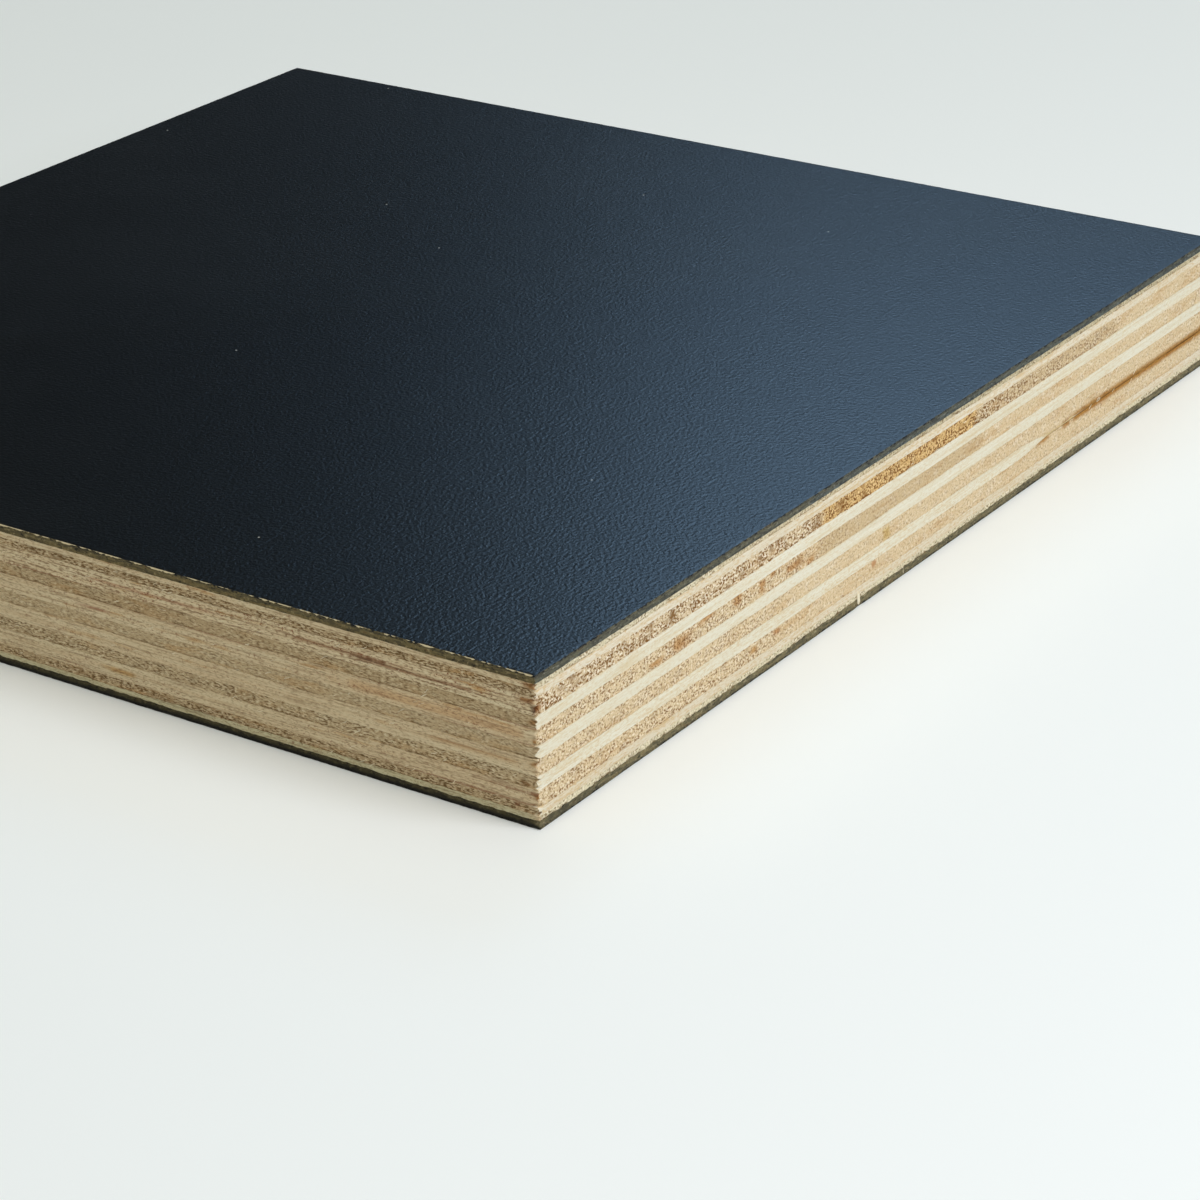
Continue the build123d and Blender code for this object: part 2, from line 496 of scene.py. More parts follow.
def arris_chips(tree, given, axes, spot, on_walls, wall):
    """Chips along the outer arris, deeper on the left wall, where the saw came out, and the way from it."""
    below = add_node(tree, "ShaderNodeMath", {0: axes["Z"], 1: given["Outer Up"]}, operation="SUBTRACT")
    from_outer = add_node(tree, "ShaderNodeMath", {0: below}, operation="ABSOLUTE")
    crumbs = {"Vector": spot, "Scale": given["Chip Scale"], "Detail": 5.0, "Roughness": 0.7}
    broken = add_node(tree, "ShaderNodeTexNoise", crumbs)
    breaking = {"Value": broken, "From Min": WHOLE_ARRIS, "From Max": BROKEN_ARRIS}
    chipped = add_node(tree, "ShaderNodeMapRange", breaking)
    from_arris = add_node(tree, "ShaderNodeMath", {0: from_outer, 1: CHIP_REACH}, operation="DIVIDE")
    fading = {0: chipped, 1: from_arris}
    hollow = add_node(tree, "ShaderNodeMath", fading, operation="SUBTRACT", use_clamp=True)
    leftward = add_node(tree, "ShaderNodeMath", {0: axes["X"], 1: 0.0}, operation="LESS_THAN")
    on_left = add_node(tree, "ShaderNodeMath", {0: on_walls[0], 1: leftward}, operation="MULTIPLY")
    saw_exit = add_node(tree, "ShaderNodeMapRange", {"Value": on_left, "To Min": ENTRY_CHIPS})
    chip_here = add_node(tree, "ShaderNodeMath", {0: hollow, 1: saw_exit}, operation="MULTIPLY")
    chip = add_node(tree, "ShaderNodeMath", {0: chip_here, 1: wall}, operation="MULTIPLY")
    return chip, from_outer


SOFT_ANGLE = math.radians(55)  # edges that bend less are shaded smooth
CODE_SLACK = 0.4  # how far off a face's code may be


def finish_sheet(tree, given, geometry):
    """Shades walls smooth, faces flat and arrises sharp, and gives each side its material."""
    side = add_node(tree, "GeometryNodeInputNamedAttribute", {"Name": "side"}, data_type="FLOAT")
    wall_end = (Y_WALL + UPPER_FACE) / 2
    is_wall = add_node(tree, "ShaderNodeMath", {0: side, 1: wall_end}, operation="LESS_THAN")
    bend = add_node(tree, "GeometryNodeInputMeshEdgeAngle")
    is_soft = add_node(tree, "ShaderNodeMath", {0: bend, 1: SOFT_ANGLE}, operation="LESS_THAN")
    for domain, smooth in (("FACE", is_wall), ("EDGE", is_soft)):
        shading = {0: geometry, "Shade Smooth": smooth}
        geometry = add_node(tree, "GeometryNodeSetShadeSmooth", shading, domain=domain)
    geometry = add_node(tree, "GeometryNodeRealizeInstances", {"Geometry": geometry})
    for label, code in SIDE_CODES.items():
        likeness = {0: side, 1: code, 2: CODE_SLACK}
        chosen = add_node(tree, "ShaderNodeMath", likeness, operation="COMPARE")
        cover = {"Geometry": geometry, "Selection": chosen, "Material": given[label]}
        geometry = add_node(tree, "GeometryNodeSetMaterial", cover)
    add_node(tree, "NodeGroupOutput", {"Geometry": geometry}, output=None)


def sawn_sheet_tree():
    """The tree that makes one glued sheet, whose glue lines wander and whose sawn walls are rough."""
    tree, given = new_tree("sawn_sheet", SHEET_INPUTS)
    geometry = plain_slab(tree, given)
    place = add_node(tree, "GeometryNodeInputPosition")
    axes = add_node(tree, "ShaderNodeSeparateXYZ", {0: place}, output=None)
    spot = add_node(tree, "ShaderNodeCombineXYZ", {"X": axes["X"], "Y": axes["Y"]})
    insets, signs, on_walls = wall_places(tree, given, axes)
    wall = add_node(tree, "ShaderNodeMath", {0: on_walls[0], 1: on_walls[1]}, operation="MAXIMUM")
    closed = closed_gap(tree, given, axes, wall)
    lower = glue_line(tree, given, "Lower", spot, wall, closed)
    upper = glue_line(tree, given, "Upper", spot, wall, closed)
    height = add_node(tree, "ShaderNodeMix", {"Factor": axes["Z"], FLOAT_A: lower, FLOAT_B: upper})

    # The grain's pattern is a solid one, stretched along the grain, so each wall shows its own cut of it
    solid = add_node(tree, "ShaderNodeCombineXYZ", {"X": axes["X"], "Y": axes["Y"], "Z": height})
    stretched = {0: solid, 1: given["Pattern Scale"], 2: given["Seed"]}
    grain = add_node(tree, "ShaderNodeVectorMath", stretched, operation="MULTIPLY_ADD")
    depth, torn = saw_depth(tree, given, grain, on_walls)
    corners = corner_tears(tree, given, grain, insets, signs)
    recessed = {0: closed, 1: given["Gap Recess"], 2: depth}
    depth = add_node(tree, "ShaderNodeMath", recessed, operation="MULTIPLY_ADD")
    depth = with_torn_spot(tree, given, axes, depth)
    chip, from_outer = arris_chips(tree, given, axes, spot, on_walls, wall)
    chip_cut = add_node(tree, "ShaderNodeMath", {0: chip, 1: given["Chip Depth"]}, operation="MULTIPLY")
    depth = add_node(tree, "ShaderNodeMath", {0: depth, 1: chip_cut}, operation="ADD")
    slopes = {"Value": given["Outer Up"], "To Min": CHIP_SLOPE, "To Max": -CHIP_SLOPE}
    slope = add_node(tree, "ShaderNodeMapRange", slopes)
    lowered = {0: chip_cut, 1: slope, 2: height}
    height = add_node(tree, "ShaderNodeMath", lowered, operation="MULTIPLY_ADD")

    # Every wall point moves straight in by the depth found there, and the corners by what is torn off them
    moved = {"Z": height}
    for axis, on_wall, sign, corner in zip("XY", on_walls, signs, corners):
        tear = add_node(tree, "ShaderNodeMath", {0: corner, 1: given["Corner Tear"]}, operation="MULTIPLY")
        deepened = {0: depth, 1: on_wall, 2: tear}
        inward = add_node(tree, "ShaderNodeMath", deepened, operation="MULTIPLY_ADD")
        signed = add_node(tree, "ShaderNodeMath", {0: inward, 1: sign}, operation="MULTIPLY")
        moved[axis] = add_node(tree, "ShaderNodeMath", {0: axes[axis], 1: signed}, operation="SUBTRACT")
    target = add_node(tree, "ShaderNodeCombineXYZ", moved)
    # The torn patches, and the corners' tears off the X walls, are darkened in the end grain: partly open
    # pores, partly painted shade in these hollows
    torn_and_shade = add_node(tree, "ShaderNodeMath", {0: torn, 1: corners[0]}, operation="MAXIMUM")
    kept = {"chip": chip, "torn_and_shade": torn_and_shade, "from_outer": from_outer, "open": given["Open Share"]}
    for label, value in kept.items():
        stored = {"Geometry": geometry, "Name": label, "Value": value}
        geometry = add_node(
            tree, "GeometryNodeStoreNamedAttribute", stored, data_type="FLOAT", domain="POINT"
        )
    geometry = add_node(tree, "GeometryNodeSetPosition", {"Geometry": geometry, "Position": target})
    finish_sheet(tree, given, geometry)
    return tree


FIBRE_INPUTS = (
    ("Strip Length", "NodeSocketFloat"),
    ("Strip Height", "NodeSocketFloat"),
    ("Count", "NodeSocketInt"),
    ("Seed", "NodeSocketInt"),
    ("Shortest", "NodeSocketFloat"),
    ("Longest", "NodeSocketFloat"),
    ("Half Width", "NodeSocketFloat"),
    ("Half Depth", "NodeSocketFloat"),
    ("Mean Lean", "NodeSocketFloat"),
    ("Lean Spread", "NodeSocketFloat"),
    ("Curl", "NodeSocketFloat"),
    ("Place", "NodeSocketVector"),
    ("Turn", "NodeSocketVector"),
    ("Fibre Material", "NodeSocketMaterial"),
)
FIBRE_STEPS, FIBRE_SIDES = 8, 5  # points along a fibre and round it
FIBRE_FULLNESS = 2.2  # how soon a fibre is at its full width; 1 would taper it as far as its middle
FIBRE_TIP = 0.15  # width of a fibre's ends, against its middle
BEND_LENGTH = 0.9 * MM  # length of the bends in a fibre


def scattered_points(tree, given):
    """Points scattered over a flat strip."""
    spread = {}
    for number, (axis, extent) in enumerate((("X", "Strip Length"), ("Y", "Strip Height"))):
        half = add_node(tree, "ShaderNodeMath", {0: given[extent], 1: 0.5}, operation="MULTIPLY")
        other_half = add_node(tree, "ShaderNodeMath", {0: half, 1: -1.0}, operation="MULTIPLY")
        seed = add_node(tree, "ShaderNodeMath", {0: given["Seed"], 1: float(number)}, operation="ADD")
        spread[axis] = add_node(
            tree, "FunctionNodeRandomValue", {2: other_half, 3: half, "Seed": seed}, output=1
        )
    spots = add_node(tree, "ShaderNodeCombineXYZ", spread)
    return add_node(tree, "GeometryNodePoints", {"Count": given["Count"], "Position": spots})


def plain_fibre(tree):
    """One fibre of unit length and thickness, thin at both ends."""
    axis = add_node(tree, "GeometryNodeCurvePrimitiveLine", {"Start": (-0.5, 0, 0), "End": (0.5, 0, 0)})
    stepped = add_node(tree, "GeometryNodeResampleCurve", {"Curve": axis, "Count": FIBRE_STEPS})
    along = add_node(tree, "GeometryNodeSplineParameter")
    half_turn = add_node(tree, "ShaderNodeMath", {0: along, 1: math.pi}, operation="MULTIPLY")
    bulge = add_node(tree, "ShaderNodeMath", {0: half_turn}, operation="SINE")
    widening = {0: bulge, 1: FIBRE_FULLNESS}
    blunt = add_node(tree, "ShaderNodeMath", widening, operation="MULTIPLY", use_clamp=True)
    radius = add_node(tree, "ShaderNodeMath", {0: blunt, 1: FIBRE_TIP}, operation="MAXIMUM")
    tapered = add_node(tree, "GeometryNodeSetCurveRadius", {"Curve": stepped, "Radius": radius})
    ring = add_node(tree, "GeometryNodeCurvePrimitiveCircle", {"Resolution": FIBRE_SIDES, "Radius": 1.0})
    sweep = {"Curve": tapered, "Profile Curve": ring, "Scale": radius, "Fill Caps": True}
    return add_node(tree, "GeometryNodeCurveToMesh", sweep)


def saw_fibres_tree():
    """The tree that scatters bent, tapered fibres flat on a strip and stands that strip against an edge."""
    tree, given = new_tree("saw_fibres", FIBRE_INPUTS)
    points = scattered_points(tree, given)
    fibre = plain_fibre(tree)

    # Each fibre gets its own length and lean, then all are bent within the strip
    length = add_node(
        tree,
        "FunctionNodeRandomValue",
        {2: given["Shortest"], 3: given["Longest"], "Seed": given["Seed"]},
        output=1,
    )
    sizes = add_node(
        tree, "ShaderNodeCombineXYZ", {"X": length, "Y": given["Half Width"], "Z": given["Half Depth"]}
    )
    swing = add_node(tree, "FunctionNodeRandomValue", {2: -1.0, 3: 1.0, "Seed": given["Seed"]}, output=1)
    lean = add_node(
        tree,
        "ShaderNodeMath",
        {0: swing, 1: given["Lean Spread"], 2: given["Mean Lean"]},
        operation="MULTIPLY_ADD",
    )
    turn = add_node(tree, "ShaderNodeCombineXYZ", {"Z": lean})
    laid = add_node(
        tree,
        "GeometryNodeInstanceOnPoints",
        {"Points": points, "Instance": fibre, "Rotation": turn, "Scale": sizes},
    )
    geometry = add_node(tree, "GeometryNodeRealizeInstances", {"Geometry": laid})
    place = add_node(tree, "GeometryNodeInputPosition")
    bend = add_node(tree, "ShaderNodeTexNoise", {"Vector": place, "Scale": 1 / BEND_LENGTH}, output="Color")
    both_ways = {0: bend, 1: (0.5, 0.5, 0.5)}
    centred = add_node(tree, "ShaderNodeVectorMath", both_ways, operation="SUBTRACT")
    level = {0: centred, 1: (1.0, 1.0, 0.0)}
    in_strip = add_node(tree, "ShaderNodeVectorMath", level, operation="MULTIPLY")
    shift = add_node(tree, "ShaderNodeVectorMath", {0: in_strip, "Scale": given["Curl"]}, operation="SCALE")
    geometry = add_node(tree, "GeometryNodeSetPosition", {"Geometry": geometry, "Offset": shift})
    geometry = add_node(
        tree,
        "GeometryNodeTransform",
        {"Geometry": geometry, "Translation": given["Place"], "Rotation": given["Turn"]},
    )
    geometry = add_node(tree, "GeometryNodeSetShadeSmooth", {0: geometry, "Shade Smooth": True})
    geometry = add_node(
        tree, "GeometryNodeSetMaterial", {"Geometry": geometry, "Material": given["Fibre Material"]}
    )
    add_node(tree, "NodeGroupOutput", {"Geometry": geometry}, output=None)
    return tree


def grown_mesh(name, tree, values):
    """A new object whose mesh is what the tree makes of these inputs, with no modifier left on it."""
    piece = bpy.data.objects.new(name, bpy.data.meshes.new(name))
    bpy.context.scene.collection.objects.link(piece)
    modifier = piece.modifiers.new(tree.name, "NODES")
    modifier.node_group = tree
    for item in tree.interface.items_tree:
        if item.in_out == "INPUT":
            modifier[item.identifier] = values[item.name]
    graph = bpy.context.evaluated_depsgraph_get()
    plain = bpy.data.meshes.new_from_object(
        piece.evaluated_get(graph), preserve_all_data_layers=True, depsgraph=graph
    )
    piece.modifiers.clear()
    empty = piece.data
    piece.data = plain
    bpy.data.meshes.remove(empty)
    plain.name = name
    return piece


UNDERSIDE, TOP = 0, 23  # heights between which every sheet lies, in millimetres


def wash(edge, tint, first=-1, last=201, strength=1.0):
    """A tint over a sheet's full height, all along an edge or between two distances."""
    return edge, first, last, UNDERSIDE, TOP, tint, strength


# Brown spots in the front edge of one core veneer: first and last distance from the near corner, lowest and
# highest point, all in millimetres
SPOTS = (
    (27, 30, 12.6, 13.4), (32.8, 37, 12.6, 14.3), (39.3, 42.7, 14.3, 15.2), (48, 50.2, 13.4, 15.2),
    (55, 56.5, 12.8, 14.8), (58, 59.3, 14.2, 15.2), (62.4, 66.6, 13.2, 14.2), (68, 69.8, 12.4, 13.3),
)
# Where a sheet is tinted on the two edges that meet at the near corner, by real stains and off-colour
# stretches, and where noted by painted shade or painted light: the edge, the first and last distance from
# that corner, where -1 and 201 lie just past the edge's ends, the lowest and highest point, all in
# millimetres, the tint and its strength
GAP_GLUE = (
    ("front", 138, 142, 6.0, 7.1, "#cba468", 0.9),
    ("front", 147, 149.8, 6.0, 7.3, "#c49a5a", 0.9),
    ("front", 151, 201, 6.0, 7.5, "#cba464", 1.0),
)
STAINS_AND_SHADE = {
    "top_laminate": (
        # Painted light: the front edge's blue tint, bluer past 70 mm, is painted cool light, and the left
        # edge's warm darkening is painted shade.
        wash("front", "#bfcff0", -1, 70),
        wash("front", "#aec9ff", 70, 201),
        wash("left", "#e8dec8"),
    ),
    "top_face_veneer": (
        wash("front", "#fbf9f8", -1, 45),
        wash("front", "#f1ece6", 45, 90),
        wash("front", "#e4dfd7", 90, 201),
        ("left", -1, 1.9, 20.6, 21.5, "#b0864e", 0.9),
    ),
    "top_crossband": (
        wash("front", "#fcf7f4"),
        wash("left", "#f6f2ee"),
        ("left", -1, 1.9, 20.6, 21.5, "#b0864e", 0.9),
    ),
    "core_veneer_1": (
        wash("front", "#fbfbfd", 0, 71),
        wash("front", "#f6e2bb", 71, 119),
        wash("front", "#f0ece6", 119, 164),
        ("front", -1, 1.3, 17.3, 18.2, "#a9793a", 0.9),
        ("left", 10, 28, 17.75, 18.1, "#a0724e", 0.8),
        ("left", 25, 43, 18.05, 18.4, "#a0724e", 0.8),
        ("left", 55, 78, 18.1, 18.5, "#cf9c82", 0.6),
        ("left", 0.5, 2.9, 18.5, 19.2, "#b38658", 0.9),
        # Painted shade: the dark patch in the corner, at the glue line between core veneers 1 and 2, is
        # painted shade of a hole there.
        ("left", -1, 0.7, 17.2, 18.2, "#6a4a20", 1.0),
    ),
    "core_veneer_2": (
        wash("left", "#f7f4f0"),
        # Painted shade: the dark patch in the corner, at the glue line between core veneers 1 and 2, is
        # painted shade of a hole there.
        ("left", -1, 0.7, 17.2, 18.2, "#6a4a20", 1.0),
        ("left", -1, 1.2, 15.4, 16.1, "#c39a5c", 0.8),
    ),
    "core_veneer_3": (
        *(("front", *spot, "#d2a768", 0.75) for spot in SPOTS),
        wash("front", "#efebe4", 72, 120),
        ("left", 3, 32, 13.0, 14.4, "#ecc8a4", 0.5),
        ("left", 74, 80, 13.4, 13.8, "#b06a48", 0.7),
        ("left", -1, 1.1, 12.7, 13.3, "#b98a3e", 0.9),
    ),
    "core_veneer_5": (
        *GAP_GLUE,
        ("front", 90, 91.7, 7.8, 9.9, "#e6d8a4", 0.8),
        ("left", 2, 17, 9.0, 9.4, "#c99a5c", 0.6),
        ("left", -1, 1.1, 9.2, 9.9, "#c79e62", 0.8),
    ),
    "core_veneer_6": (
        wash("front", "#eddcb6", 140, 153),
        wash("front", "#b38a4e", 153, 201),
        ("left", 1.5, 2.8, 6.1, 6.6, "#b08a60", 0.8),
    ),
    "core_veneer_7": (
        *GAP_GLUE,
        ("front", 52.5, 54.2, 4.2, 5.2, "#dab67c", 0.8),
        ("front", 58.6, 60.4, 4.7, 5.6, "#cc9c64", 0.8),
        ("front", 86.4, 87.6, 4.8, 5.8, "#d0a074", 0.8),
        ("left", 71, 76, 4.2, 5.0, "#e0bb74", 0.7),
        ("left", -1, 0.8, 4.4, 5.2, "#bb8a44", 0.9),
    ),
    "bottom_crossband": (
        wash("front", "#f9f3ee"),
        wash("left", "#f6f2ee"),
        ("left", 3.2, 4.1, 2.6, 3.2, "#a8704a", 0.8),
    ),
    "bottom_face_veneer": (wash("left", "#f2ffff"),),
    "bottom_laminate": (
        wash("front", "#b9bec4", -1, 14, 0.9),
        # Painted shade: the left edge is darkened as painted shade near the floor, and the dark band at its
        # foot is the film's dark edge deepened by a painted contact shadow.
        wash("left", "#9a9783"),
        ("left", -1, 201, -1, 0.7, "#484a48", 1.0),
    ),
}
# Stretches of the front edge where pores are nearly closed: the first and last distance from the near
# corner in millimetres, and the share that stays open
CALM_STRETCHES = {
    "core_veneer_1": ((130, 201, 0.6), (164, 201, 0.5)),
    "core_veneer_3": ((74, 201, 0.45),),
    "core_veneer_5": ((60, 201, 0.6),),
    "core_veneer_7": ((62, 201, 0.5),),
}
STAIN_AND_SHADE_FADE = 2.5 * MM  # the longest stretch over which a tint fades, whether stain or painted shade
CALM_FADE = 20.0 * MM  # the longest stretch over which pores close
FADE_SHARE = 0.4  # the most of a stretch that fades at either end
STAIN_AND_SHADE_WANDER = 4.0 * MM  # how far the ends of a long tint wander
WANDER_SHARE = 0.3  # the most of a stain's length that its ends wander
STAIN_AND_SHADE_SKIN = 2.0 * MM  # how deep the torn edge that carries its tints may lie


def within(values, first, last, longest_fade):
    """How far each value lies between two ends, from 0 outside to 1 inside."""
    fade = min(longest_fade, FADE_SHARE * (last - first))
    rise = np.clip((values - first) / fade + 0.5, 0, 1)
    fall = np.clip((last - values) / fade + 0.5, 0, 1)
    return rise * fall


def stain_and_shade_edges(piece, node):
    """Writes the tint of each point of a sheet, from stains and painted shade, to its "stain_and_shade"
    attribute.
    """
    count = len(piece.data.vertices)
    places = np.empty(count * 3)
    piece.data.vertices.foreach_get("co", places)
    places = places.reshape(-1, 3)
    inset = places[:, :2] - (LEFT, FRONT)
    tint = np.ones((count, 4))
    for edge, first, last, low, high, colour, strength in STAINS_AND_SHADE.get(node, ()):
        across, along = (1, 0) if edge == "front" else (0, 1)
        on_wall = (inset[:, across] < STAIN_AND_SHADE_SKIN) & (inset[:, across] <= inset[:, along])
        near = np.flatnonzero(on_wall)
        wander = min(STAIN_AND_SHADE_WANDER, WANDER_SHARE * (last - first) * MM)
        swing = np.array([noise.noise(Vector(places[index]) / wander) for index in near])
        distance = inset[near, along] + wander * swing
        amount = strength * within(distance, first * MM, last * MM, STAIN_AND_SHADE_FADE)
        amount *= within(places[near, 2], low * MM, high * MM, STAIN_AND_SHADE_FADE)
        tint[near, :3] *= 1 - amount[:, None] * (1 - np.array(linear(colour)))
    stain_and_shade = piece.data.attributes.new("stain_and_shade", "FLOAT_COLOR", "POINT")
    stain_and_shade.data.foreach_set("color", tint.ravel())
    calm_pores(piece, node, inset[:, 0])


def calm_pores(piece, node, distances):
    """Closes the pores in a sheet's calm stretches, by each point's distance from the near corner."""
    pores = piece.data.attributes["open"].data
    openness = np.empty(len(distances))
    pores.foreach_get("value", openness)
    for first, last, share in CALM_STRETCHES.get(node, ()):
        openness *= 1 - (1 - share) * within(distances, first * MM, last * MM, CALM_FADE)
    pores.foreach_set("value", openness)


SHEET_SHIFT = 7.3  # how far apart in the grain's noise the sheets lie
LINE_SHIFT = 0.37  # how far apart in their noise the glue lines lie, in metres
LAMINATE_SHARE = 0.3  # how far the hard laminate tears and waves, against a veneer


def glue_line_values(number, sizes):
    """What the tree is told of a sheet's two glue lines."""
    values = {}
    for side, line in (("Lower", number), ("Upper", number + 1)):
        outer_face = line in (0, len(STACK))
        laminate_line = line in (1, len(STACK) - 1)
        wave = 0.0 if outer_face else sizes.glue_wave * (LAMINATE_SHARE if laminate_line else 1.0)
        jag = 0.0 if outer_face else sizes.torn_jag if line == 1 else sizes.glue_jag
        values[side + " Level"] = WHOLE_LEVELS[line]
        values[side + " Closed Level"] = CLOSED_LEVELS[line]
        values[side + " Line"] = LINE_SHIFT * line
        values[side + " Wave"] = wave
        values[side + " Jag"] = jag
    return values


def wall_values(node, sizes):
    """What the tree is told of the roughness of a sheet's walls, by the way that its grain runs."""
    end_wall = (sizes.end_relief, sizes.end_tear)
    long_wall = (sizes.long_relief, sizes.long_tear)
    x_wall, y_wall = (end_wall, long_wall) if node in GRAIN_ALONG_X else (long_wall, end_wall)
    if node in LAMINATES:
        x_wall = y_wall = (sizes.laminate_relief, 0.0)
    labels = ("X Wall Relief", "X Wall Tear", "Y Wall Relief", "Y Wall Tear")
    return dict(zip(labels, x_wall + y_wall))


def lay_sheet(node, sizes, materials):
    """Makes one glued sheet in place of its node, with materials for its walls and its faces."""
    number = STACK.index(node)
    laminate = node in LAMINATES
    along_x = node in GRAIN_ALONG_X
    thickness = WHOLE_LEVELS[number + 1] - WHOLE_LEVELS[number]
    across = 1 / sizes.pore_width
    with_grain = 1 / sizes.pore_length
    chip_depths = {STACK[0]: sizes.foot_chip, STACK[-1]: sizes.chip_depth}
    values = {
        "Length": PANEL_LENGTH,
        "Width": PANEL_WIDTH,
        "Rim Share": 1 - 2 * (sizes.laminate_rim if laminate else sizes.rim_width) / PANEL_LENGTH,
        "Columns": round(PANEL_LENGTH / sizes.column_spacing) - 1,
        "Rows": round(thickness / (sizes.laminate_row if laminate else sizes.row_spacing)) + 1,
        "Wave Scale": 1 / sizes.glue_wave_length,
        "Jag Scale": 1 / sizes.glue_jag_length,
        "Gap Start": GAP_START,
        "Gap End": GAP_END,
        "Gap Back": GAP_BACK,
        "Gap Recess": sizes.crack_recess if node == SHORT_VENEER else 0.0,
        "Pattern Scale": (with_grain, across, across) if along_x else (across, with_grain, across),
        "Seed": SHEET_SHIFT * number,
        "Open Share": OPEN_SHARES.get(node, USUAL_OPEN_SHARE),
        "Corner Tear": sizes.corner_tear * (LAMINATE_SHARE if laminate else 1.0),
        "Corner Reach": sizes.corner_reach,
        "Nick Place": LEFT + sizes.splinter_place,
        "Nick Reach": sizes.nick_reach,
        "Nick Depth": sizes.nick_depth if node in TORN_SHEETS else 0.0,
        "Outer Up": 0.0 if number == 0 else 1.0,
        "Chip Depth": chip_depths.get(node, 0.0),
        "Chip Scale": 1 / sizes.chip_length,
        **wall_values(node, sizes),
        **glue_line_values(number, sizes),
        **materials,
    }
    tree = bpy.data.node_groups.get("sawn_sheet") or sawn_sheet_tree()
    piece = grown_mesh(node + "_sawn", tree, values)
    piece.data.attributes.remove(piece.data.attributes["side"])
    stain_and_shade_edges(piece, node)
    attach(piece, ROOT_BODY)
    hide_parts(node)


def new_material(name):
    """An empty material; gives it, its tree, its Principled shader's inputs and the place on the piece."""
    material = bpy.data.materials.new(name)
    material.use_nodes = True
    tree = material.node_tree
    place = add_node(tree, "ShaderNodeTexCoord", output="Object")
    return material, tree, tree.nodes["Principled BSDF"].inputs, place


def solid_noise(tree, place, cell, detail=2.0):
    """Solid noise whose cells have these lengths, in millimetres, along X, Y and Z."""
    scale = tuple(1 / (length * MM) for length in cell)
    stretched = add_node(tree, "ShaderNodeMapping", {"Vector": place, "Scale": scale})
    return add_node(
        tree, "ShaderNodeTexNoise", {"Vector": stretched, "Scale": 1.0, "Detail": detail, "Roughness": 0.6}
    )


def grain_noises(tree, place, along_x, cells):
    """Solid noises by name, from their cells' millimetres across the grain, along it and up."""
    found = {}
    for label, (across, with_grain, up) in cells.items():
        cell = (with_grain, across, up) if along_x else (across, with_grain, up)
        found[label] = solid_noise(tree, place, cell)
    return found


PATCH_EDGE, PATCH_INSIDE = 0.44, 0.58  # values of a patch's noise from outside it to inside


def grain_layers(tree, base, layers):
    """Lays colours over a base, each where its own noise runs high, or low.

    A layer is its colour, its noise, the value at which it starts to show and at which it covers, the most
    that it covers, and the noise of the patches that hold it, or None for all over.
    """
    colour = base
    for layer, pattern, start, full, most, patch in layers:
        amount = add_node(
            tree,
            "ShaderNodeMapRange",
            {"Value": pattern, "From Min": start, "From Max": full, "To Max": most},
        )
        if patch:
            crowding = {"Value": patch, "From Min": PATCH_EDGE, "From Max": PATCH_INSIDE}
            crowd = add_node(tree, "ShaderNodeMapRange", crowding)
            amount = add_node(tree, "ShaderNodeMath", {0: amount, 1: crowd}, operation="MULTIPLY")
        colour = add_node(
            tree,
            "ShaderNodeMix",
            {"Factor": amount, COLOUR_A: colour, COLOUR_B: opaque(layer)},
            output=COLOUR_RESULT,
            data_type="RGBA",
        )
    return colour


def mark_sheet(tree, shader, colour, marks):
    """Lays colours where a sheet's attributes run high, tints it with its stains and painted shade and
    colours the shader.

    A mark is a layer, as in grain_layers, with the attribute's name for its noise.
    """
    layers = []
    for layer, name, *rest in marks:
        value = add_node(tree, "ShaderNodeAttribute", output="Fac", attribute_name=name)
        layers.append((layer, value, *rest))
    marked = grain_layers(tree, colour, layers)
    stain_and_shade = add_node(tree, "ShaderNodeAttribute", output="Color", attribute_name="stain_and_shade")
    tinted = add_node(
        tree,
        "ShaderNodeMix",
        {"Factor": 1.0, COLOUR_A: marked, COLOUR_B: stain_and_shade},
        output=COLOUR_RESULT,
        data_type="RGBA",
        blend_type="MULTIPLY",
    )
    tree.links.new(tinted, shader["Base Color"])


def dust_grains(tree, place, spacing, radius, share):
    """Where single grains of dust lie: in this share of cells of this spacing, in millimetres."""
    cells = add_node(
        tree,
        "ShaderNodeTexVoronoi",
        {"Vector": place, "Scale": 1 / (spacing * MM)},
        output=None,
        voronoi_dimensions="2D",
    )
    edge = radius / spacing
    grain = add_node(
        tree, "ShaderNodeMapRange", {"Value": cells["Distance"], "From Min": edge, "From Max": 0.5 * edge}
    )
    chance = add_node(tree, "ShaderNodeSeparateColor", {0: cells["Color"]}, output="Red")
    chosen = add_node(tree, "ShaderNodeMath", {0: chance, 1: 1 - share}, operation="GREATER_THAN")
    return add_node(tree, "ShaderNodeMath", {0: grain, 1: chosen}, operation="MULTIPLY")


def embossed_film(colours):
    """Phenolic film pressed against a textured plate.

    Its pebbled skin is satin: near black where it mirrors nothing, and a soft sheen towards a light. A few
    grains of dust lie on it as pale dots.
    """
    material, tree, shader, place = new_material("phenolic_film_embossed")
    layers = (
        (colours.film_haze, solid_noise(tree, place, (38, 38, 38), 1.0), 0.5, 0.75, 1.0, None),
        (colours.dust, dust_grains(tree, place, spacing=14, radius=0.2, share=0.06), 0.0, 1.0, 0.9, None),
    )
    mark_sheet(tree, shader, grain_layers(tree, opaque(colours.film), layers), ())
    pebbles = solid_noise(tree, place, (0.6, 0.6, 0.6), 1.0)
    skin = add_node(tree, "ShaderNodeBump", {"Strength": 0.7, "Distance": 0.085 * MM, "Height": pebbles})
    tree.links.new(skin, shader["Normal"])
    shader["Roughness"].default_value = 0.29
    shader["IOR"].default_value = 1.5
    return material


